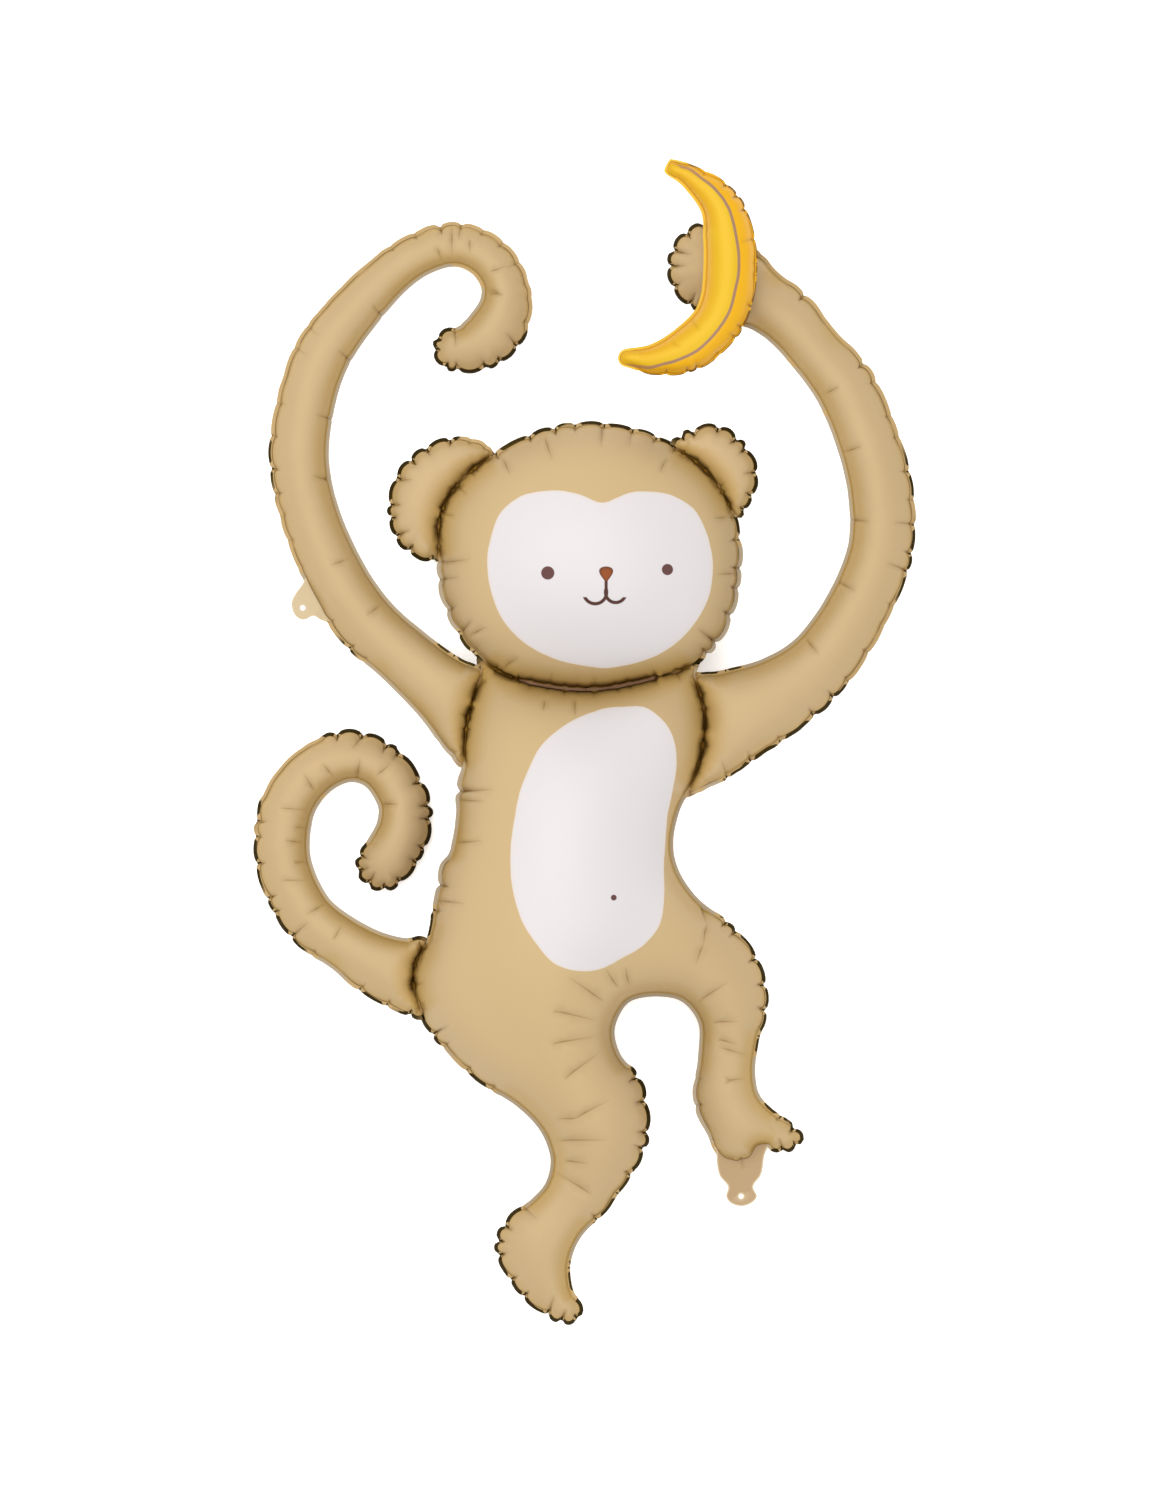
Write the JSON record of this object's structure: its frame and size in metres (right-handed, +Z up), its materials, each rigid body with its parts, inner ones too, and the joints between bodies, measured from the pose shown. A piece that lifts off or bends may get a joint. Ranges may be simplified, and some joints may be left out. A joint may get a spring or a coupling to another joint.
{
  "type": "monkey foil balloon",
  "caption": "Large inflated foil balloon shaped as a monkey with raised arms and a curled tail, lying on its back, with a small banana balloon on one hand.",
  "frame": {"origin": "centre of the bounding box in plan, on the surface that the balloon lies on", "axes": "+X to the viewer's right of the figure, +Y from the feet to the hands, +Z up out of the face"},
  "size_m": [0.7501, 1.3181, 0.2035],
  "materials": {
    "beige_foil": "satin beige metallised film",
    "yellow_foil": "bright yellow metallised film"
  },
  "bodies": {
    "root": {"monkey_balloon": "beige_foil", "banana_balloon": "yellow_foil"}
  },
  "joints": []
}
